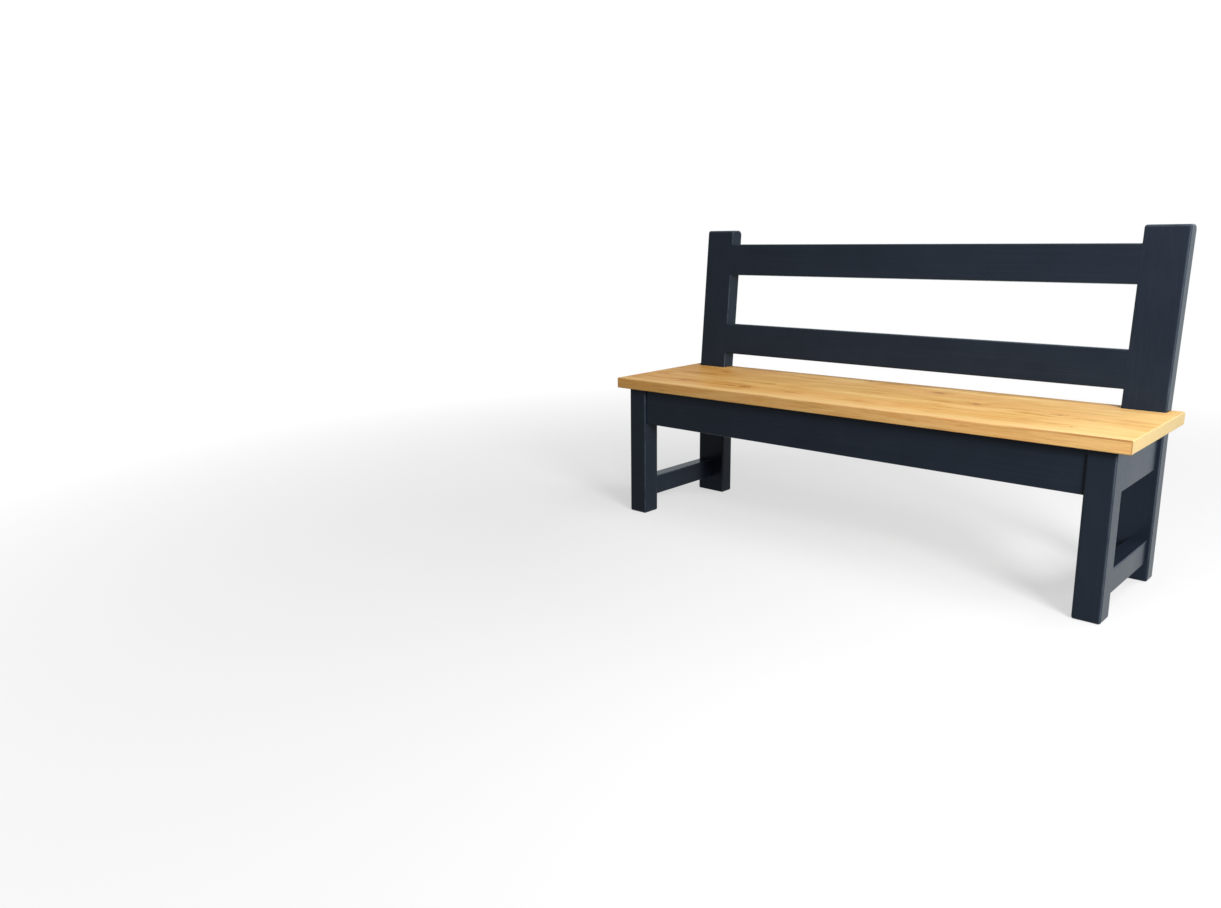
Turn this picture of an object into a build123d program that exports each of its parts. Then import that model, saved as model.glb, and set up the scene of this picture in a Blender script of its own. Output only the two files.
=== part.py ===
from build123d import *
import os
from math import cos, radians, sin, tan

# Driving dimensions, in millimetres and degrees.
# The bench is laid out with X along its length, Y from the front edge of the seat to the back, Z up.

# Seat
seat_length = 1524
seat_depth = 450
seat_height = 450
seat_thickness = 33
seat_board_count = 3
seat_edge_radius = 2.5

# Front legs
leg_width = 65
leg_depth = 65
leg_end_inset = 33
leg_front_inset = 23.5
leg_edge_radius = 6

# Rear posts
post_width = 105.5
post_depth = 52
post_end_inset = 31.5
post_behind_seat = 3
post_rake = 5
post_bend_radius = 200
post_edge_radius = 6
post_top_front_radius = 8
post_top_rear_radius = 16
foot_edge_radius = 5.8

# Back rails
back_rail_height = 102
back_rail_thickness = 45
back_rail_setback = 0.3
seat_to_lower_rail = 49
lower_to_top_rail = 165.5
post_above_top_rail = 45.5
back_rail_edge_radius = 4

# Aprons and low stretchers
rail_setback = 7.5
front_apron_height = 115
front_apron_thickness = 45
rear_apron_height = 115
rear_apron_setback = 3.5
end_apron_height = 115
end_apron_thickness = 45
stretcher_height = 63
stretcher_thickness = 45
stretcher_above_floor = 50
rail_edge_radius = 4

# Cross bearer under the middle of the seat
bearer_height = 70
bearer_thickness = 45

# Mortise and tenon joints
tenon_thickness = 15
tenon_shoulder = 12
post_side_tenon = 40
post_front_tenon = 28
leg_rear_tenon = 38
bearer_tenon = 15
tenon_web = 4
tenon_clearance = 0.2
mortise_end_gap = 1.5
notch_clearance = 0.5

# Steel brackets under the seat, with their screws
brackets_per_apron = 4
bracket_leg = 32
bracket_width = 20
bracket_thickness = 2.5
bracket_hole_from_corner = 19
bracket_slot_length = 6
screw_diameter = 4
screw_hole_clearance = 0.5
screw_pilot_clearance = 0.1
screw_length = 22
screw_point = 4
screw_tip_diameter = 1
screw_head_diameter = 8
screw_head_height = 2.6
screw_head_radius = 1.2
screw_recess_length = 4.6
screw_recess_width = 1.1
screw_recess_depth = 1.5

# Levels
seat_underside = seat_height - seat_thickness
front_apron_bottom = seat_underside - front_apron_height
rear_apron_bottom = seat_underside - rear_apron_height
end_apron_bottom = seat_underside - end_apron_height
stretcher_top = stretcher_above_floor + stretcher_height

# Plan positions of the right-hand side
seat_end = seat_length / 2
leg_outer = seat_end - leg_end_inset
leg_inner = leg_outer - leg_width
leg_front = leg_front_inset
leg_rear = leg_front + leg_depth
post_outer = seat_end - post_end_inset
post_inner = post_outer - post_width
post_rear = seat_depth + post_behind_seat
post_front = post_rear - post_depth
front_apron_front = leg_front + rail_setback
front_apron_rear = front_apron_front + front_apron_thickness
rear_apron_front = post_front + rear_apron_setback
rear_apron_rear = post_rear - rear_apron_setback
end_rail_outer = leg_outer - rail_setback
end_apron_middle = end_rail_outer - end_apron_thickness / 2
stretcher_middle = end_rail_outer - stretcher_thickness / 2

# The front apron's tenon stops short of the end apron's tenon inside the leg
leg_side_tenon = end_apron_middle - tenon_thickness / 2 - tenon_web - leg_inner

# The posts bend back inside the thickness of the seat.
# Above the bend, lengths along a post are measured from the bend on its front face.
rake = radians(post_rake)
bend_level = seat_underside + seat_thickness / 2
lower_rail_start = (seat_height - bend_level + seat_to_lower_rail) / cos(rake)
lower_rail_end = lower_rail_start + back_rail_height
top_rail_start = lower_rail_end + lower_to_top_rail
top_rail_end = top_rail_start + back_rail_height
post_top = top_rail_end + post_above_top_rail
raked = Location((0, post_front, bend_level), (-post_rake, 0, 0))


def block(low, high):
    """A box between two opposite corners."""
    size = [b - a for a, b in zip(low, high)]
    return Pos(*low) * Box(*size, align=(Align.MIN, Align.MIN, Align.MIN))


def grown(low, high, growth):
    """The box of a tenon, grown into its mortise."""
    wide_low = [a - g for a, g in zip(low, growth)]
    wide_high = [b + g for b, g in zip(high, growth)]
    return block(wide_low, wide_high)


def mirrored(shape):
    """The left-hand copy of a right-hand shape."""
    return mirror(shape, about=Plane.YZ)


def along_x(middle, start, length, bottom, top):
    """Corners of a tenon that runs along X, centred on middle in Y."""
    low = (start, middle - tenon_thickness / 2, bottom + tenon_shoulder)
    high = (start + length, middle + tenon_thickness / 2, top - tenon_shoulder)
    return low, high


def along_y(middle, start, length, bottom, top):
    """Corners of a tenon that runs along Y, centred on middle in X."""
    low = (middle - tenon_thickness / 2, start, bottom + tenon_shoulder)
    high = (middle + tenon_thickness / 2, start + length, top - tenon_shoulder)
    return low, high


into_x = (mortise_end_gap, tenon_clearance, tenon_clearance)
into_y = (tenon_clearance, mortise_end_gap, tenon_clearance)

# Tenons of the right-hand side, each shared by its rail and by the mortise that takes it
front_apron_middle = (front_apron_front + front_apron_rear) / 2
rear_apron_middle = (rear_apron_front + rear_apron_rear) / 2
front_apron_tenon = along_x(
    front_apron_middle, leg_inner, leg_side_tenon, front_apron_bottom, seat_underside)
rear_apron_tenon = along_x(
    rear_apron_middle, post_inner, post_side_tenon, rear_apron_bottom, seat_underside)
end_apron_leg_tenon = along_y(
    end_apron_middle, leg_rear - leg_rear_tenon, leg_rear_tenon, end_apron_bottom, seat_underside)
end_apron_post_tenon = along_y(
    end_apron_middle, post_front, post_front_tenon, end_apron_bottom, seat_underside)
stretcher_leg_tenon = along_y(
    stretcher_middle, leg_rear - leg_rear_tenon, leg_rear_tenon, stretcher_above_floor, stretcher_top)
stretcher_post_tenon = along_y(
    stretcher_middle, post_front, post_front_tenon, stretcher_above_floor, stretcher_top)
bearer_bottom = seat_underside - bearer_height
bearer_front_tenon = along_y(
    0, front_apron_rear - bearer_tenon, bearer_tenon, bearer_bottom, seat_underside)
bearer_rear_tenon = along_y(0, rear_apron_front, bearer_tenon, bearer_bottom, seat_underside)
back_rail_middle = back_rail_setback + back_rail_thickness / 2
lower_rail_tenon = along_x(back_rail_middle, post_inner, post_side_tenon, lower_rail_start, lower_rail_end)
top_rail_tenon = along_x(back_rail_middle, post_inner, post_side_tenon, top_rail_start, top_rail_end)


def front_leg():
    """Square leg with rounded edges, mortised for the front apron, the end apron and the stretcher."""
    leg = block((leg_inner, leg_front, 0), (leg_outer, leg_rear, seat_underside))
    leg = fillet(leg.edges().filter_by(Axis.Z), leg_edge_radius)
    leg = fillet(leg.faces().sort_by(Axis.Z)[0].edges(), foot_edge_radius)
    leg -= grown(*front_apron_tenon, into_x)
    leg -= grown(*end_apron_leg_tenon, into_y)
    leg -= grown(*stretcher_leg_tenon, into_y)
    return leg


def post_outline():
    """Side view of a rear post: upright, bent back once, level across its top with rounded corners."""
    top_level = bend_level + post_top * cos(rake)
    front_bend = Vector(post_front, bend_level)
    rear_bend = Vector(post_rear, bend_level - post_depth * tan(rake / 2))
    top_front = Vector(post_front + post_top * sin(rake), top_level)
    top_rear = Vector(post_rear + (top_level - rear_bend.Y) * tan(rake), top_level)
    outline = make_face(Polyline(
        (post_front, 0), (post_rear, 0), rear_bend, top_rear, top_front, front_bend, close=True))
    outline = fillet(outline.vertices().sort_by_distance(front_bend)[0], post_bend_radius + post_depth)
    outline = fillet(outline.vertices().sort_by_distance(rear_bend)[0], post_bend_radius)
    outline = fillet(outline.vertices().sort_by_distance(top_front)[0], post_top_front_radius)
    return fillet(outline.vertices().sort_by_distance(top_rear)[0], post_top_rear_radius)


def rear_post():
    """Raked post with rounded edges, kept square where the flush rails and the rear apron meet it."""
    post = Pos(post_inner, 0, 0) * extrude(Plane.YZ * post_outline(), amount=post_width)
    foot = post.faces().sort_by(Axis.Z)[0]
    sides = post.faces().filter_by(Axis.X)
    post = fillet(sides.edges() - foot.edges(), post_edge_radius)
    post = fillet(post.faces().sort_by(Axis.Z)[0].edges(), foot_edge_radius)
    edge_strip = post_inner + post_edge_radius
    for start, end in ((lower_rail_start, lower_rail_end), (top_rail_start, top_rail_end)):
        post += raked * block((post_inner, 0, start), (edge_strip, back_rail_middle, end))
    post += block((post_inner, post_front, rear_apron_bottom), (edge_strip, post_rear, seat_underside))
    post -= raked * grown(*lower_rail_tenon, into_x)
    post -= raked * grown(*top_rail_tenon, into_x)
    post -= grown(*rear_apron_tenon, into_x)
    post -= grown(*end_apron_post_tenon, into_y)
    post -= grown(*stretcher_post_tenon, into_y)
    return post


def back_rail(start, end, tenon):
    """Flat rail flush with the front of the raked posts, with a tenon at each end."""
    low = (-post_inner, back_rail_setback, start)
    high = (post_inner, back_rail_setback + back_rail_thickness, end)
    rail = block(low, high)
    rail = fillet(rail.edges().filter_by(Axis.X), back_rail_edge_radius)
    tenon_block = block(*tenon)
    rail += [tenon_block, mirrored(tenon_block)]
    return raked * rail


def long_apron(low, high, tenon, bearer_joint):
    """Apron along the length of the seat, rounded below, tenoned at its ends, mortised for the bearer."""
    apron = block(low, high)
    lower_edges = apron.faces().sort_by(Axis.Z)[0].edges().filter_by(Axis.X)
    apron = fillet(lower_edges, rail_edge_radius)
    tenon_block = block(*tenon)
    apron += [tenon_block, mirrored(tenon_block)]
    return apron - grown(*bearer_joint, into_y)


def end_apron():
    """Apron across the end of the bench, set back from the leg's outer face."""
    low = (end_rail_outer - end_apron_thickness, leg_rear, end_apron_bottom)
    high = (end_rail_outer, post_front, seat_underside)
    apron = block(low, high)
    lower_edges = apron.faces().sort_by(Axis.Z)[0].edges().filter_by(Axis.Y)
    apron = fillet(lower_edges, rail_edge_radius)
    return apron + [block(*end_apron_leg_tenon), block(*end_apron_post_tenon)]


def end_stretcher():
    """Low rail from the front leg to the rear post."""
    low = (end_rail_outer - stretcher_thickness, leg_rear, stretcher_above_floor)
    high = (end_rail_outer, post_front, stretcher_top)
    stretcher = block(low, high)
    stretcher = fillet(stretcher.edges().filter_by(Axis.Y), rail_edge_radius)
    return stretcher + [block(*stretcher_leg_tenon), block(*stretcher_post_tenon)]


def seat_bearer():
    """Cross bearer under the middle of the seat, stub tenoned into both long aprons."""
    low = (-bearer_thickness / 2, front_apron_rear, bearer_bottom)
    high = (bearer_thickness / 2, rear_apron_front, seat_underside)
    return block(low, high) + [block(*bearer_front_tenon), block(*bearer_rear_tenon)]


def seat_blank():
    """The whole seat with eased edges, notched from the back to fit round the posts."""
    blank = block((-seat_end, 0, seat_underside), (seat_end, seat_depth, seat_height))
    blank = fillet(blank.edges(), seat_edge_radius)
    low = (post_inner - notch_clearance, post_front - notch_clearance, seat_underside - seat_thickness)
    high = (post_outer + notch_clearance, post_rear + post_depth, seat_height + seat_thickness)
    notch = block(low, high)
    front_corners = notch.edges().filter_by(Axis.Z).group_by(Axis.Y)[0]
    notch = fillet(front_corners, post_edge_radius)
    return blank - [notch, mirrored(notch)]


def seat_board(index, blank):
    """One of the boards that the seat is glued up from, counted from the front."""
    board_width = seat_depth / seat_board_count
    low = (-seat_end, index * board_width, seat_underside)
    high = (seat_end, (index + 1) * board_width, seat_height)
    return blank & block(low, high)


def bracket():
    """Steel angle, its corner at the origin: one leg down a rail, one slotted leg under the seat."""
    angle = block((-bracket_width / 2, 0, -bracket_leg), (bracket_width / 2, bracket_leg, 0))
    inside_low = (-bracket_width / 2, bracket_thickness, -bracket_leg)
    angle -= block(inside_low, (bracket_width / 2, bracket_leg, -bracket_thickness))
    corner = angle.edges().filter_by(Axis.X).sort_by_distance((0, 0, 0))[0]
    angle = fillet(corner, bracket_thickness)
    hole_radius = screw_diameter / 2 + screw_hole_clearance
    hole = Rot(X=90) * Cylinder(hole_radius, 3 * bracket_thickness)
    slot_sketch = SlotCenterToCenter(bracket_slot_length, 2 * hole_radius, rotation=90)
    slot = extrude(slot_sketch, amount=3 * bracket_thickness / 2, both=True)
    angle -= Pos(0, 0, -bracket_hole_from_corner) * hole
    return angle - Pos(0, bracket_hole_from_corner, 0) * slot


def screw():
    """Pan-head wood screw, point up along Z, the underside of its head at the origin."""
    upward = (Align.CENTER, Align.CENTER, Align.MIN)
    downward = (Align.CENTER, Align.CENTER, Align.MAX)
    shank_length = screw_length - screw_point
    shank = Cylinder(screw_diameter / 2, shank_length, align=upward)
    point_shape = Cone(screw_diameter / 2, screw_tip_diameter / 2, screw_point, align=upward)
    head = Cylinder(screw_head_diameter / 2, screw_head_height, align=downward)
    head = fillet(head.edges().group_by(Axis.Z)[0], screw_head_radius)
    recess = Box(screw_recess_length, screw_recess_width, 2 * screw_recess_depth)
    recess += Box(screw_recess_width, screw_recess_length, 2 * screw_recess_depth)
    head -= Pos(0, 0, -screw_head_height) * recess
    return head + shank + Pos(0, 0, shank_length) * point_shape


def pilot_hole():
    """The hole that a screw fills, from the underside of its head to just past its point."""
    radius = screw_diameter / 2 + screw_pilot_clearance
    depth = screw_length + mortise_end_gap
    return Cylinder(radius, depth, align=(Align.CENTER, Align.CENTER, Align.MIN))


def bracket_places():
    """Corners of the brackets: evenly spaced along both long aprons, facing each other under the seat."""
    pitch = 2 * leg_inner / brackets_per_apron
    places = []
    for index in range(brackets_per_apron):
        x = -leg_inner + (index + 0.5) * pitch
        places.append(Location((x, front_apron_rear, seat_underside)))
        places.append(Location((x, rear_apron_front, seat_underside), (0, 0, 180)))
    return places


# Where the screws sit on a bracket: into the rail, and up into the seat
rail_screw_seat = Location((0, bracket_thickness, -bracket_hole_from_corner), (90, 0, 0))
seat_screw_seat = Location((0, bracket_hole_from_corner, -bracket_thickness))
places = bracket_places()
rail_screw_places = [place * rail_screw_seat for place in places]
seat_screw_places = [place * seat_screw_seat for place in places]
rail_pilots = [place * pilot_hole() for place in rail_screw_places]
seat_pilots = [place * pilot_hole() for place in seat_screw_places]

nodes = {}

right_leg = front_leg()
nodes["front_leg_right"] = right_leg
nodes["front_leg_left"] = mirrored(right_leg)

right_post = rear_post()
nodes["rear_post_right"] = right_post
nodes["rear_post_left"] = mirrored(right_post)

nodes["lower_back_rail"] = back_rail(lower_rail_start, lower_rail_end, lower_rail_tenon)
nodes["top_back_rail"] = back_rail(top_rail_start, top_rail_end, top_rail_tenon)

front_apron = long_apron(
    (-leg_inner, front_apron_front, front_apron_bottom),
    (leg_inner, front_apron_rear, seat_underside),
    front_apron_tenon,
    bearer_front_tenon)
rear_apron = long_apron(
    (-post_inner, rear_apron_front, rear_apron_bottom),
    (post_inner, rear_apron_rear, seat_underside),
    rear_apron_tenon,
    bearer_rear_tenon)
nodes["front_apron"] = front_apron - rail_pilots
nodes["rear_apron"] = rear_apron - rail_pilots

right_end_apron = end_apron()
nodes["end_apron_right"] = right_end_apron
nodes["end_apron_left"] = mirrored(right_end_apron)

right_stretcher = end_stretcher()
nodes["end_stretcher_right"] = right_stretcher
nodes["end_stretcher_left"] = mirrored(right_stretcher)

nodes["seat_bearer"] = seat_bearer()

whole_seat = seat_blank() - seat_pilots
for index in range(seat_board_count):
    nodes["seat_board_" + str(index + 1)] = seat_board(index, whole_seat)

one_bracket = bracket()
one_screw = screw()
nodes["seat_brackets"] = Compound([place * one_bracket for place in places])
nodes["bracket_rail_screws"] = Compound([place * one_screw for place in rail_screw_places])
nodes["bracket_seat_screws"] = Compound([place * one_screw for place in seat_screw_places])

# The origin is on the floor, under the middle of the bench's overall box
overall = Compound(list(nodes.values())).bounding_box()
to_origin = Pos(0, -overall.center().Y, 0)

os.makedirs("parts", exist_ok=True)
for name, shape in nodes.items():
    export_step(to_origin * shape, "parts/" + name + ".step")
print("overall size", overall.size.X, overall.size.Y, overall.size.Z)
print("seat front edge at Y", -overall.center().Y)
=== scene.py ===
"""Looks of a painted wooden bench with a clear-finished plank seat, in the frame of its CAD model."""
import bpy
from math import radians
from typing import NamedTuple
from mathutils import Matrix, Vector


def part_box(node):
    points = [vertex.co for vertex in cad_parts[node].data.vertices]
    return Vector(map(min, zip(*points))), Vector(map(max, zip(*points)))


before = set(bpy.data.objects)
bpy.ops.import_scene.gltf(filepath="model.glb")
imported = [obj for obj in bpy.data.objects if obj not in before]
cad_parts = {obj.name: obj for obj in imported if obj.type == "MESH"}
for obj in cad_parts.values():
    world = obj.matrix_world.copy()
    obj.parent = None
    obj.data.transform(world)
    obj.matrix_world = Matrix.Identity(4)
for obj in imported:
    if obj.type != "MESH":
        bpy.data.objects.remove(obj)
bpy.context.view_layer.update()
cad_seat_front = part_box("seat_board_1")[0].y


class Noise(NamedTuple):
    """A noise pattern: its waves per metre along each axis, its own seed, and its fine detail."""
    scales: tuple
    seed: float
    detail: float = 2.0
    roughness: float = 0.5


# Ranges that values are fitted to, upwards and downwards, and the range that most of a noise's values lie in
RISING = (0.0, 1.0)
FALLING = (1.0, 0.0)
NOISE_RANGE = (0.3, 0.7)

# The picture is taken to be this many pixels wide
IMAGE_WIDTH = 1221

# Camera, in metres and degrees: in front of the bench's right-hand end, looking slightly down
CAMERA_PLACE = (1.3317, -2.5585, 0.9221)
CAMERA_YAW = 44.24
CAMERA_PITCH = 12.54
CAMERA_ROLL = -1.0
FOCAL_PIXELS = 960.2
CENTRE_OFFSET_PIXELS = (-26.4, -10.0)
SENSOR_WIDTH = 36.0

# Lamps: place, point aimed at, width, height and power in watts
KEY_LAMP = ((2.85, -1.75, 1.62), (0.40, -0.10, 0.45), 1.1, 1.1, 133.0)
CEILING_LAMP = ((0.90, -0.40, 2.70), (0.30, 0.0, 0.0), 2.0, 2.0, 41.0)
BACK_LAMP = ((2.20, 2.90, 1.95), (0.10, 0.20, 0.45), 1.6, 1.2, 42.0)
WORLD_COLOUR = (0.95, 0.97, 1.0, 1.0)
WORLD_STRENGTH = 0.05

# White of the surroundings where the camera sees them, and the cooler white that glossy surfaces mirror
PLAIN_WHITE = (1.0, 1.0, 1.0, 1.0)
MIRRORED_WHITE = (0.85, 0.945, 1.0, 1.0)

# Floor: half its width, how far it lies below the feet, its colour where it is seen and where it only throws
# light back, and how white it is at two distances from the bench's middle, in metres
FLOOR_HALF = 20.0
FLOOR_DROP = 0.0005
FLOOR_COLOUR = (0.85, 0.85, 0.85, 1.0)
FLOOR_BOUNCE = (0.12, 0.12, 0.12, 1.0)
FLOOR_DISTANCES = (1.0, 3.0)
FLOOR_WHITENESS = (0.60, 1.0)

# Painted timber: its colours and gloss
PAINT_DARK = (0.0122, 0.0172, 0.0276, 1.0)
PAINT_LIGHT = (0.0174, 0.0239, 0.0374, 1.0)
# Lighter paint for the arrises: partly worn paint, partly a painted highlight on the rounded edges
PAINT_WORN_AND_HIGHLIT = (0.0700, 0.0880, 0.1120, 1.0)
PAINT_ROUGHNESS = (0.20, 0.30)
PAINT_SPECULAR = 0.100

# Brush marks and grain in the paint, with scales along and across the piece, and patches all over it.
# The relief is the weights of brush marks and grain, and the bump its depth in metres and its strength.
PAINT_BRUSH = Noise((7, 900), 0, 3.0, 0.6)
PAINT_GRAIN = Noise((3, 150), 5, 4.0, 0.55)
PAINT_PATCHES = Noise((9, 9, 9), 9)
PAINT_RELIEF = (0.35, 0.65)
PAINT_BUMP = (0.0004, 0.5)

# Lighter paint on the arrises, partly wear and partly a painted highlight for the sheen on the rounded edges:
# its strength, the largest part of the surface's normal on an arris and on a flat face, and its unevenness
WEAR_AND_HIGHLIGHT_STRENGTH = 0.75
ARRIS_NORMAL = (0.78, 0.98)
ARRIS_UNEVEN = Noise((16, 16, 16), 12)
ARRIS_UNEVEN_RANGE = (0.35, 0.65)
ARRIS_UNEVEN_SHARE = (0.3, 1.0)

# Clear-finished seat timber, from early wood to late wood, with its rosy patches and knots
SEAT_PALE = (0.860, 0.580, 0.235, 1.0)
SEAT_MID = (0.770, 0.455, 0.145, 1.0)
SEAT_AMBER = (0.655, 0.335, 0.080, 1.0)
SEAT_DARK = (0.450, 0.195, 0.045, 1.0)
SEAT_ROSY = (0.790, 0.400, 0.150, 1.0)
SEAT_KNOT = (0.190, 0.074, 0.022, 1.0)
SEAT_STOPS = ((0.0, SEAT_PALE), (0.4, SEAT_MID), (0.75, SEAT_AMBER), (1.0, SEAT_DARK))
SEAT_ROUGHNESS = (0.46, 0.60)
SEAT_SPECULAR = 0.10

# Weights of fibres and late wood in the seat's relief, and the bump's depth in metres and its strength
SEAT_RELIEF = (0.6, -0.4)
SEAT_BUMP = (0.0004, 0.5)

# Where the pith of each board's tree lies, across from the board's middle and below its underside, and how it
# drifts along the board: its slope, a slow drift and a ripple, with their sizes in metres
PITHS = ((0.020, 0.060), (-0.035, 0.110), (0.028, 0.045))
PITH_SLOPE = 0.005
PITH_DRIFT = Noise((0.9, 2, 2), 0, 1.0)
PITH_DRIFT_SIZE = 0.02
PITH_RIPPLE = Noise((6, 30, 30), 3)
PITH_RIPPLE_SIZE = 0.0024

# Growth rings: their spacing, how uneven it is, in rings, and the part of a ring where it darkens and ends
RING_SPACING = 0.0042
RING_UNEVEN = Noise((70, 0.4, 0), 19, 1.0)
RING_UNEVEN_SIZE = 2.5
LATE_RISE = (0.30, 0.94)
LATE_FALL = (0.94, 1.0)
LATE_POWER = 2.0

# Patterns that follow the rings, with scales across the rings and along the board
BANDS = Noise((38, 0.5, 0), 7, 3.0, 0.6)
FLECKS = Noise((95, 7, 0), 41, 3.0, 0.6)
FLECKS_RANGE = (0.50, 0.72)

# Patterns that run straight along the board
RIPPLE = Noise((14, 60, 60), 17)
BROAD = Noise((3.6, 24, 24), 31)
STREAKS = Noise((8, 120, 120), 11, 4.0, 0.6)
FIBRES = Noise((22, 1100, 1100), 13, 2.0, 0.6)
PATCHES = Noise((2.2, 14, 14), 23)
PATCHES_RANGE = (0.52, 0.75)
DASHES = Noise((40, 900, 900), 29, 1.0)
DASHES_RANGE = (0.70, 0.78)

# Weights of the patterns in the seat's tone, that of late wood behind and on the front edge, the tones that
# get the first and last of the colours, and how strongly rosy patches and dark dashes show
BANDS_WEIGHT = 0.45
FLECKS_WEIGHT = 0.22
BROAD_WEIGHT = 0.60
STREAKS_WEIGHT = 0.50
FIBRES_WEIGHT = 0.18
LATE_WEIGHTS = (0.26, 0.10)
TONE_RANGE = (0.71, 1.27)
PATCHES_STRENGTH = (0.0, 0.55)
DASHES_STRENGTH = 0.45

# Pale strip along the front of the top, partly pale wood and partly a painted highlight, and a painted sheen
# towards the right-hand end: where the strip fades out, how that is shifted and wavers, in metres, and the
# strength across the strip and at the right-hand end. A painted shade, darker and ruddier, runs from a place
# along X to the left-hand end.
PALE_WOOD_AND_SHEEN = (0.900, 0.650, 0.310, 1.0)
PALE_STRIP_WIDTH = (0.012, 0.060)
PALE_STRIP_SHIFT = 0.025
PALE_STRIP_WAVER = -0.05
PALE_STRIP_FRONT = (0.60, 0.0)
RIGHT_END_SHEEN = 0.32
RIGHT_END_LENGTH = 0.30
LEFT_END_SHADE_TINT = (1.02, 0.90, 0.74, 1.0)
LEFT_END_SHADE_FROM = -0.05

# The seat's front edge: its colours, warmer than the top and brighter as a painted light, its patterns and
# how strongly they show
EDGE_ORANGE = (0.880, 0.510, 0.190, 1.0)
EDGE_RED = (0.800, 0.350, 0.110, 1.0)
EDGE_SHARE = 0.50
EDGE_TONE = Noise((9, 90, 90), 37, 3.0, 0.6)
EDGE_TONE_RANGE = (0.48, 0.68)
EDGE_STREAKS = Noise((11, 170, 170), 43, 3.0, 0.6)
EDGE_STREAKS_RANGE = (0.52, 0.70)
EDGE_STREAKS_STRENGTH = (0.0, 0.42)

# The seat's sawn ends: their depth, colours, and the weights of late wood, ripple and fibres in their tone
SAWN_DEPTH = 0.0030
END_PALE = (0.700, 0.550, 0.280, 1.0)
END_LATE = (0.600, 0.415, 0.172, 1.0)
END_WEIGHTS = (0.55, 0.40, 0.25)
END_RANGE = (0.2, 0.8)

# The seat's dark arrises: along the top of the front edge, growing stronger to the right, and at its corners
ARRIS_DARK = (0.330, 0.140, 0.036, 1.0)
ARRIS_WIDTH = 0.0050
TOP_ARRIS_STRENGTH = (0.08, 0.85)
CORNER_ARRIS_STRENGTH = 0.80

# Share of the depth behind a face of the seat that still counts wholly as that face
FACE_SHARE = 0.4

# Knots on the seat: place along X and Y, and size
KNOTS = (
    (0.171, 0.098, 0.019),
    (0.319, -0.012, 0.016),
    (0.540, -0.035, 0.009),
    (-0.330, -0.150, 0.006),
    (-0.560, 0.070, 0.009),
    (0.610, -0.170, 0.005),
    (-0.080, 0.170, 0.008),
)

# A knot's drawing out along the board, and in shares of its size: how far off and how much it pushes the
# rings aside, how ragged it is, and where its brown halo and its dark core thin out. The power is how fast
# the push dies away, and the strengths are how much halo and core show.
KNOT_STRETCH = 0.55
KNOT_REACH = 4
KNOT_PUSH = 1.3
KNOT_PUSH_POWER = 2.0
KNOT_RAGGED = 0.5
KNOT_HALO = (0.5, 1.9)
KNOT_CORE = (0.35, 0.9)
HALO_STRENGTH = 0.45
CORE_STRENGTH = 0.85

# Steel of the hidden brackets and screws
STEEL_COLOUR = (0.58, 0.58, 0.57, 1.0)
STEEL_DULL = (0.42, 0.42, 0.43, 1.0)
STEEL_MOTTLE = Noise((400, 400, 400), 0, 3.0)
STEEL_ROUGHNESS = (0.28, 0.42)
STEEL_SPECULAR = 0.5
STEEL_BUMP = (0.0002, 0.3)

# Painted nodes by the axis that they run along, and the other nodes
PAINTED_NODES = {
    "Z": ("front_leg_left", "front_leg_right", "rear_post_left", "rear_post_right"),
    "X": ("lower_back_rail", "top_back_rail", "front_apron", "rear_apron"),
    "Y": ("end_apron_left", "end_apron_right", "end_stretcher_left", "end_stretcher_right", "seat_bearer"),
}
SEAT_BOARDS = ("seat_board_1", "seat_board_2", "seat_board_3")
STEEL_NODES = ("seat_brackets", "bracket_rail_screws", "bracket_seat_screws")

# Steps between the seeds of one piece and the next, so that no two have the same pattern
PAINT_SEED_STEP = 3.7
SEAT_SEED_STEP = 6.1


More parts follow.
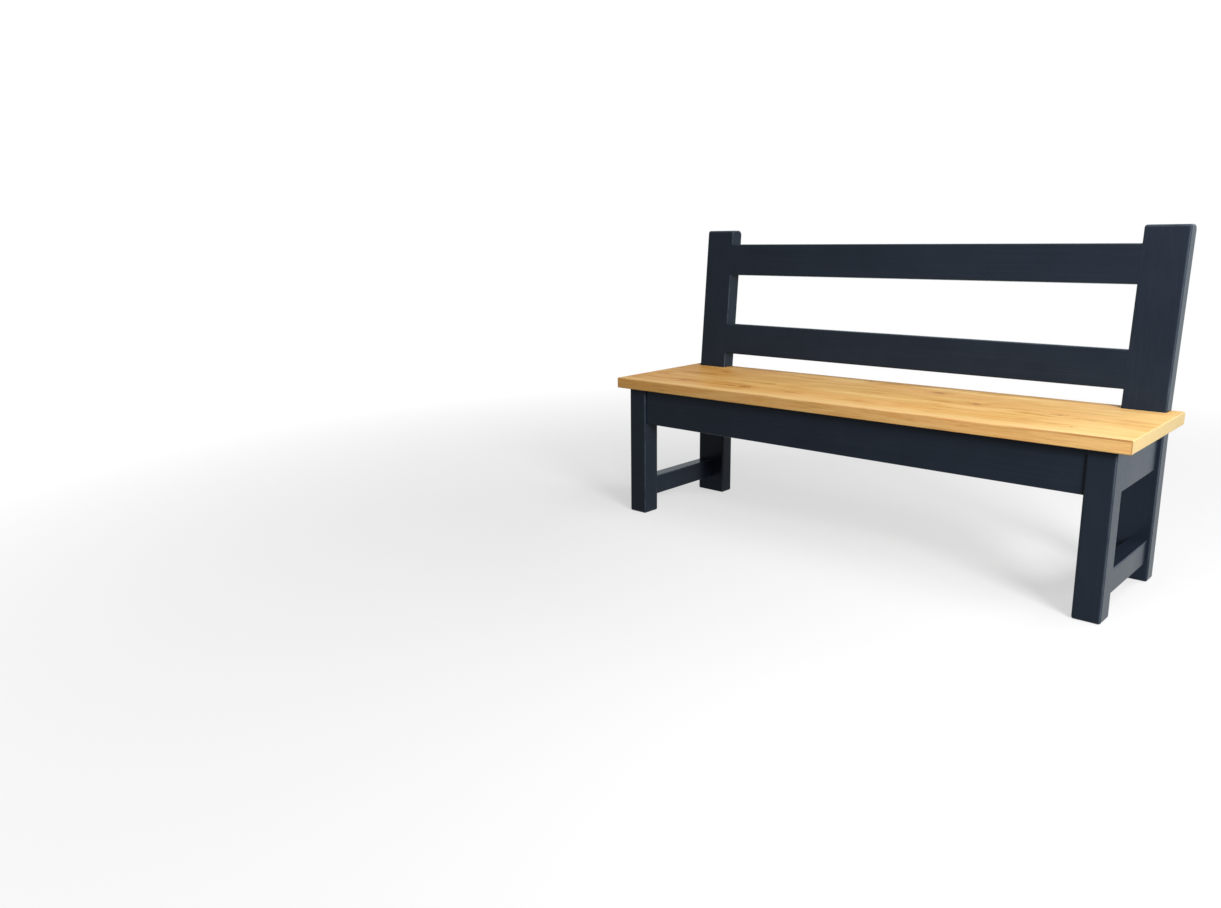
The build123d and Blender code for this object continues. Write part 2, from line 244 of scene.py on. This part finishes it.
class Graph:
    """The node tree of a material or the world, with one short method for each kind of node that is used."""

    def __init__(self, owner, output="ShaderNodeOutputMaterial"):
        owner.use_nodes = True
        self.owner = owner
        self.tree = owner.node_tree
        self.tree.nodes.clear()
        self.output = self.tree.nodes.new(output)

    def node(self, kind, **settings):
        made = self.tree.nodes.new(kind)
        for key, value in settings.items():
            setattr(made, key, value)
        return made

    def feed(self, socket, value):
        """Links an input to a socket, or sets it to a constant."""
        if isinstance(value, bpy.types.NodeSocket):
            self.tree.links.new(value, socket)
        else:
            socket.default_value = value

    def math(self, operation, a, b=0.0, c=0.0):
        made = self.node("ShaderNodeMath", operation=operation)
        for socket, value in zip(made.inputs, (a, b, c)):
            self.feed(socket, value)
        return made.outputs[0]

    def times(self, a, b):
        return self.math("MULTIPLY", a, b)

    def blend(self, *parts):
        """The sum of values, each with its weight."""
        total = 0.0
        for value, weight in parts:
            total = self.math("MULTIPLY_ADD", value, weight, total)
        return total

    def average(self, first, second):
        return self.blend((first, 0.5), (second, 0.5))

    def split(self, vector):
        made = self.node("ShaderNodeSeparateXYZ")
        self.feed(made.inputs[0], vector)
        return made.outputs

    def place(self):
        """The point of the surface, in metres in the part's frame."""
        return self.split(self.node("ShaderNodeTexCoord").outputs["Object"])

    def vector(self, x, y, z):
        made = self.node("ShaderNodeCombineXYZ")
        for socket, value in zip(made.inputs, (x, y, z)):
            self.feed(socket, value)
        return made.outputs[0]

    def length(self, x, y, z):
        made = self.node("ShaderNodeVectorMath", operation="LENGTH")
        self.feed(made.inputs[0], self.vector(x, y, z))
        return made.outputs["Value"]

    def noise(self, place, pattern, seed):
        """A noise pattern at a place, moved along by the seed of the piece."""
        scaled = [self.times(axis, scale) for axis, scale in zip(place, pattern.scales)]
        scaled[2] = self.math("ADD", scaled[2], seed + pattern.seed)
        made = self.node("ShaderNodeTexNoise")
        self.feed(made.inputs["Vector"], self.vector(*scaled))
        made.inputs["Scale"].default_value = 1.0
        made.inputs["Detail"].default_value = pattern.detail
        made.inputs["Roughness"].default_value = pattern.roughness
        return made.outputs["Fac"]

    def fit(self, value, old, new):
        """Value moved from one range to another, held inside the new one."""
        made = self.node("ShaderNodeMapRange", clamp=True)
        for socket, number in zip(made.inputs, (value, *old, *new)):
            self.feed(socket, number)
        return made.outputs[0]

    def mix(self, amount, first, second, blend="MIX"):
        made = self.node("ShaderNodeMix", data_type="RGBA", blend_type=blend)
        self.feed(made.inputs["Factor"], amount)
        self.feed(made.inputs[6], first)
        self.feed(made.inputs[7], second)
        return made.outputs[2]

    def ramp(self, value, stops):
        made = self.node("ShaderNodeValToRGB")
        elements = made.color_ramp.elements
        while len(elements) < len(stops):
            elements.new(0.5)
        for element, (position, colour) in zip(elements, stops):
            element.position = position
            element.color = colour
        self.feed(made.inputs[0], value)
        return made.outputs[0]

    def bump(self, height, distance, strength):
        made = self.node("ShaderNodeBump")
        made.inputs["Strength"].default_value = strength
        made.inputs["Distance"].default_value = distance
        self.feed(made.inputs["Height"], height)
        return made.outputs[0]

    def surface(self, colour, roughness, normal, specular, metallic=0.0):
        """Ends the tree with a surface and gives back its material."""
        made = self.node("ShaderNodeBsdfPrincipled")
        self.feed(made.inputs["Base Color"], colour)
        self.feed(made.inputs["Roughness"], roughness)
        self.feed(made.inputs["Normal"], normal)
        made.inputs["Specular IOR Level"].default_value = specular
        made.inputs["Metallic"].default_value = metallic
        self.feed(self.output.inputs["Surface"], made.outputs[0])
        return self.owner

    def either_shader(self, amount, first, second):
        """Ends the tree with a mix of two shaders."""
        made = self.node("ShaderNodeMixShader")
        self.feed(made.inputs[0], amount)
        self.feed(made.inputs[1], first.outputs[0])
        self.feed(made.inputs[2], second.outputs[0])
        self.feed(self.output.inputs["Surface"], made.outputs[0])


def material_graph(name):
    return Graph(bpy.data.materials.new(name))


def drawn_along(axis, pattern):
    """A pattern given by its scales along and across a piece, for a piece that runs along an axis."""
    along, across = pattern.scales
    return pattern._replace(scales=[along if name == axis else across for name in "XYZ"])


def worn_and_highlit_arrises(graph, place, seed):
    """How much lighter the paint is made, partly rubbed thin and partly a painted highlight: most where the
    surface turns from one flat face to the next.
    """
    facing = 0.0
    for part in graph.split(graph.node("ShaderNodeNewGeometry").outputs["Normal"]):
        facing = graph.math("MAXIMUM", facing, graph.math("ABSOLUTE", part))
    turned = graph.fit(facing, ARRIS_NORMAL, FALLING)
    uneven = graph.fit(graph.noise(place, ARRIS_UNEVEN, seed), ARRIS_UNEVEN_RANGE, ARRIS_UNEVEN_SHARE)
    return graph.times(turned, uneven)


def painted_timber(name, axis, seed):
    """Satin paint brushed along the piece, with the timber's grain just showing through."""
    graph = material_graph(name)
    place = graph.place()
    brush = graph.noise(place, drawn_along(axis, PAINT_BRUSH), seed)
    grain = graph.noise(place, drawn_along(axis, PAINT_GRAIN), seed)
    patches = graph.noise(place, PAINT_PATCHES, seed)
    tone = graph.fit(graph.average(grain, patches), NOISE_RANGE, RISING)
    colour = graph.mix(tone, PAINT_DARK, PAINT_LIGHT)
    # Lighter arrises: partly worn paint, partly a painted highlight standing in for the sheen on the rounded
    # edges
    worn_and_highlit = graph.times(worn_and_highlit_arrises(graph, place, seed), WEAR_AND_HIGHLIGHT_STRENGTH)
    colour = graph.mix(worn_and_highlit, colour, PAINT_WORN_AND_HIGHLIT)
    roughness = graph.fit(graph.average(brush, patches), NOISE_RANGE, PAINT_ROUGHNESS)
    relief = graph.blend(*zip((brush, grain), PAINT_RELIEF))
    return graph.surface(colour, roughness, graph.bump(relief, *PAINT_BUMP), PAINT_SPECULAR)


class SeatBoard:
    """The timber of one board of the seat: solid wood with growth rings about a pith below the board."""

    def __init__(self, name, low, high, pith, knots, seed):
        self.graph = graph = material_graph(name)
        self.place = graph.place()
        self.low = low
        self.seed = seed
        x, y, z = self.place
        self.front = self.near_face(y, cad_seat_front, ARRIS_WIDTH)
        self.top = self.near_face(z, high.z, ARRIS_WIDTH)
        self.sawn = self.near_face(graph.math("ABSOLUTE", x), high.x, SAWN_DEPTH)
        self.right = self.near_face(x, high.x, RIGHT_END_LENGTH)
        self.ripple = self.pattern(RIPPLE)
        self.broad = self.pattern(BROAD)
        self.fibres = self.pattern(FIBRES)
        push, self.halo, self.core = self.knot_marks(knots)
        straight = self.pith_distance((low.y + high.y) / 2 + pith[0], low.z - pith[1])
        self.radius = graph.math("ADD", straight, push)
        self.late = self.late_wood()

    def near_face(self, coordinate, face, depth):
        """1 on a face of the seat, falling to 0 at a depth behind it."""
        distance = self.graph.math("ABSOLUTE", self.graph.math("SUBTRACT", coordinate, face))
        return self.graph.fit(distance, (depth * FACE_SHARE, depth), FALLING)

    def pattern(self, pattern):
        return self.graph.noise(self.place, pattern, self.seed)

    def ring_pattern(self, pattern):
        """A pattern that follows the growth rings."""
        x, _, z = self.place
        return self.graph.noise((self.radius, x, z), pattern, self.seed)

    def pith_distance(self, pith_y, pith_z):
        """Distance from the pith, which drifts along the board as a tree's does."""
        graph = self.graph
        x, y, z = self.place
        straight = graph.length(0.0, graph.math("SUBTRACT", y, pith_y), graph.math("SUBTRACT", z, pith_z))
        drift = (self.pattern(PITH_DRIFT), PITH_DRIFT_SIZE)
        ripple = (self.pattern(PITH_RIPPLE), PITH_RIPPLE_SIZE)
        return graph.blend((straight, 1.0), (x, PITH_SLOPE), drift, ripple)

    def knot_marks(self, knots):
        """How far the knots push the rings aside, and how deep in a knot's halo and core the point is."""
        graph = self.graph
        x, y, _ = self.place
        push = halo = core = 0.0
        for knot_x, knot_y, size in knots:
            off_x = graph.times(graph.math("SUBTRACT", x, knot_x), KNOT_STRETCH)
            distance = graph.length(off_x, graph.math("SUBTRACT", y, knot_y), 0.0)
            near = graph.fit(distance, (0.0, size * KNOT_REACH), FALLING)
            swell = graph.math("POWER", near, KNOT_PUSH_POWER)
            push = graph.math("MULTIPLY_ADD", swell, size * KNOT_PUSH, push)
            ragged = graph.math("MULTIPLY_ADD", self.ripple, size * KNOT_RAGGED, distance)
            halo_range = [size * part for part in KNOT_HALO]
            halo = graph.math("MAXIMUM", halo, graph.fit(ragged, halo_range, FALLING))
            core_range = [size * part for part in KNOT_CORE]
            core = graph.math("MAXIMUM", core, graph.fit(ragged, core_range, FALLING))
        return push, halo, core

    def late_wood(self):
        """How far into the late wood of its ring a point is: the ring darkens slowly and ends sharply."""
        graph = self.graph
        uneven = self.ring_pattern(RING_UNEVEN)
        ring = graph.math("FRACT", graph.blend((self.radius, 1 / RING_SPACING), (uneven, RING_UNEVEN_SIZE)))
        late = graph.math("POWER", graph.fit(ring, LATE_RISE, RISING), LATE_POWER)
        return graph.times(late, graph.fit(ring, LATE_FALL, FALLING))

    def plank_colour(self):
        """Colour from the rings and the patterns along the board."""
        graph = self.graph
        flecks = graph.fit(self.ring_pattern(FLECKS), FLECKS_RANGE, RISING)
        tone = graph.blend(
            (self.late, graph.fit(self.front, RISING, LATE_WEIGHTS)),
            (self.ring_pattern(BANDS), BANDS_WEIGHT),
            (flecks, FLECKS_WEIGHT),
            (self.broad, BROAD_WEIGHT),
            (self.pattern(STREAKS), STREAKS_WEIGHT),
            (self.fibres, FIBRES_WEIGHT),
        )
        return graph.ramp(graph.fit(tone, TONE_RANGE, RISING), SEAT_STOPS)

    def with_pale_wood_and_sheen(self, colour):
        """Paler in a wavering strip along the front of the top, partly pale wood and partly a painted
        highlight, and towards the right-hand end, a painted sheen.
        """
        graph = self.graph
        inward = graph.math("SUBTRACT", self.place[1], cad_seat_front)
        shifted = graph.math("ADD", inward, PALE_STRIP_SHIFT)
        wavering = graph.math("MULTIPLY_ADD", self.broad, PALE_STRIP_WAVER, shifted)
        strip = graph.times(graph.fit(wavering, PALE_STRIP_WIDTH, PALE_STRIP_FRONT), self.top)
        colour = graph.mix(strip, colour, PALE_WOOD_AND_SHEEN)
        # Painted sheen: paler towards the right-hand end
        return graph.mix(graph.times(self.right, RIGHT_END_SHEEN), colour, PALE_WOOD_AND_SHEEN)

    def with_marks(self, colour):
        """Rosy patches, short dark dashes and knots."""
        graph = self.graph
        rosy = graph.fit(self.pattern(PATCHES), PATCHES_RANGE, PATCHES_STRENGTH)
        colour = graph.mix(rosy, colour, SEAT_ROSY)
        dashes = graph.fit(self.pattern(DASHES), DASHES_RANGE, RISING)
        colour = graph.mix(graph.times(dashes, DASHES_STRENGTH), colour, SEAT_DARK)
        colour = graph.mix(graph.times(self.halo, HALO_STRENGTH), colour, SEAT_DARK)
        return graph.mix(graph.times(self.core, CORE_STRENGTH), colour, SEAT_KNOT)

    def with_front_edge(self, colour):
        """Warmer and more streaked on the front edge, with a brighter colour that is painted light on that
        face.
        """
        graph = self.graph
        warm = graph.mix(graph.fit(self.pattern(EDGE_TONE), EDGE_TONE_RANGE, RISING), EDGE_ORANGE, EDGE_RED)
        colour = graph.mix(graph.times(self.front, EDGE_SHARE), colour, warm)
        streaks = graph.fit(self.pattern(EDGE_STREAKS), EDGE_STREAKS_RANGE, EDGE_STREAKS_STRENGTH)
        return graph.mix(graph.times(self.front, streaks), colour, SEAT_DARK)

    def with_ends(self, colour):
        """Darker and ruddier towards the left-hand end, a painted shade, with end grain on both sawn ends."""
        graph = self.graph
        # Painted shade: darker and ruddier towards the left-hand end
        left_shade = graph.fit(self.place[0], (LEFT_END_SHADE_FROM, self.low.x), RISING)
        colour = graph.mix(left_shade, colour, LEFT_END_SHADE_TINT, "MULTIPLY")
        tone = graph.blend(*zip((self.late, self.ripple, self.fibres), END_WEIGHTS))
        end_grain = graph.mix(graph.fit(tone, END_RANGE, RISING), END_PALE, END_LATE)
        return graph.mix(self.sawn, colour, end_grain)

    def with_arrises(self, colour):
        """Dark along the top of the front edge and at its corners."""
        graph = self.graph
        top_strength = graph.fit(self.right, RISING, TOP_ARRIS_STRENGTH)
        top_arris = graph.times(graph.times(self.front, self.top), top_strength)
        corner_arris = graph.times(graph.times(self.front, self.sawn), CORNER_ARRIS_STRENGTH)
        return graph.mix(graph.math("MAXIMUM", top_arris, corner_arris), colour, ARRIS_DARK)

    def material(self):
        graph = self.graph
        colour = self.with_pale_wood_and_sheen(self.plank_colour())
        colour = self.with_front_edge(self.with_marks(colour))
        colour = self.with_arrises(self.with_ends(colour))
        roughness = graph.fit(self.fibres, NOISE_RANGE, SEAT_ROUGHNESS)
        relief = graph.blend(*zip((self.fibres, self.late), SEAT_RELIEF))
        return graph.surface(colour, roughness, graph.bump(relief, *SEAT_BUMP), SEAT_SPECULAR)


def plated_steel(name):
    """Zinc-plated steel with a faint mottle."""
    graph = material_graph(name)
    mottle = graph.noise(graph.place(), STEEL_MOTTLE, 0.0)
    colour = graph.mix(mottle, STEEL_COLOUR, STEEL_DULL)
    roughness = graph.fit(mottle, NOISE_RANGE, STEEL_ROUGHNESS)
    return graph.surface(colour, roughness, graph.bump(mottle, *STEEL_BUMP), STEEL_SPECULAR, metallic=1.0)


def dress(node, material):
    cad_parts[node].material_slots[0].material = material


def dress_bench():
    """Gives each painted piece and each board a material of its own, and the steel one for all."""
    seed = 0.0
    for axis, nodes in PAINTED_NODES.items():
        for node in nodes:
            seed += PAINT_SEED_STEP
            dress(node, painted_timber("paint_" + node, axis, seed))
    for node, pith in zip(SEAT_BOARDS, PITHS):
        seed += SEAT_SEED_STEP
        low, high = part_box(node)
        knots = [knot for knot in KNOTS if low.y < knot[1] < high.y]
        dress(node, SeatBoard("timber_" + node, low, high, pith, knots, seed).material())
    steel = plated_steel("plated_steel")
    for node in STEEL_NODES:
        dress(node, steel)


def seen_white(graph):
    """Whether a ray shows the surroundings, directly, mirrored or through glass, and the white it shows."""
    rays = graph.node("ShaderNodeLightPath").outputs
    seen = rays["Is Camera Ray"]
    for other in ("Is Glossy Ray", "Is Transmission Ray"):
        seen = graph.math("MAXIMUM", seen, rays[other])
    return seen, graph.mix(rays["Is Glossy Ray"], PLAIN_WHITE, MIRRORED_WHITE)


def pale_floor():
    """A wide pale floor that keeps the shadow near the bench and runs out to plain white."""
    mesh = bpy.data.meshes.new("floor")
    half = FLOOR_HALF
    corners = [(-half, -half, 0), (half, -half, 0), (half, half, 0), (-half, half, 0)]
    mesh.from_pydata(corners, [], [(0, 1, 2, 3)])
    floor = bpy.data.objects.new("floor", mesh)
    floor.location.z = -FLOOR_DROP
    bpy.context.scene.collection.objects.link(floor)
    graph = material_graph("floor")
    x, y, _ = graph.place()
    seen, white = seen_white(graph)
    matt = graph.node("ShaderNodeBsdfDiffuse")
    graph.feed(matt.inputs["Color"], graph.mix(seen, FLOOR_BOUNCE, FLOOR_COLOUR))
    glow = graph.node("ShaderNodeEmission")
    graph.feed(glow.inputs["Color"], white)
    whiteness = graph.fit(graph.length(x, y, 0.0), FLOOR_DISTANCES, FLOOR_WHITENESS)
    graph.either_shader(graph.times(seen, whiteness), matt, glow)
    mesh.materials.append(graph.owner)


def soft_world():
    """Even soft light all round, white where it is seen."""
    world = bpy.data.worlds.new("studio")
    bpy.context.scene.world = world
    graph = Graph(world, "ShaderNodeOutputWorld")
    seen, white = seen_white(graph)
    light = graph.node("ShaderNodeBackground")
    light.inputs["Color"].default_value = WORLD_COLOUR
    light.inputs["Strength"].default_value = WORLD_STRENGTH
    glow = graph.node("ShaderNodeBackground")
    graph.feed(glow.inputs["Color"], white)
    graph.either_shader(seen, light, glow)


def softbox(name, place, target, width, height, power):
    """A rectangular lamp aimed at a point. Glossy surfaces mirror the white surroundings, not the lamp."""
    lamp = bpy.data.lights.new(name, "AREA")
    lamp.shape = "RECTANGLE"
    lamp.size = width
    lamp.size_y = height
    lamp.energy = power
    obj = bpy.data.objects.new(name, lamp)
    obj.location = place
    obj.visible_glossy = False
    aim = Vector(target) - Vector(place)
    obj.rotation_euler = aim.to_track_quat("-Z", "Y").to_euler()
    bpy.context.scene.collection.objects.link(obj)


def photo_camera():
    """The camera at the photograph's place and angle."""
    camera = bpy.data.cameras.new("camera")
    camera.sensor_fit = "HORIZONTAL"
    camera.sensor_width = SENSOR_WIDTH
    camera.lens = FOCAL_PIXELS / IMAGE_WIDTH * SENSOR_WIDTH
    camera.shift_x = -CENTRE_OFFSET_PIXELS[0] / IMAGE_WIDTH
    camera.shift_y = CENTRE_OFFSET_PIXELS[1] / IMAGE_WIDTH
    obj = bpy.data.objects.new("camera", camera)
    turn = Matrix.Rotation(radians(CAMERA_YAW), 4, "Z")
    tilt = Matrix.Rotation(radians(90 - CAMERA_PITCH), 4, "X")
    roll = Matrix.Rotation(radians(CAMERA_ROLL), 4, "Z")
    obj.matrix_world = Matrix.Translation(CAMERA_PLACE) @ turn @ tilt @ roll
    bpy.context.scene.collection.objects.link(obj)
    bpy.context.scene.camera = obj


dress_bench()
pale_floor()
soft_world()
softbox("key", *KEY_LAMP)
softbox("ceiling", *CEILING_LAMP)
softbox("back", *BACK_LAMP)
photo_camera()
bpy.context.scene.view_settings.view_transform = "Standard"
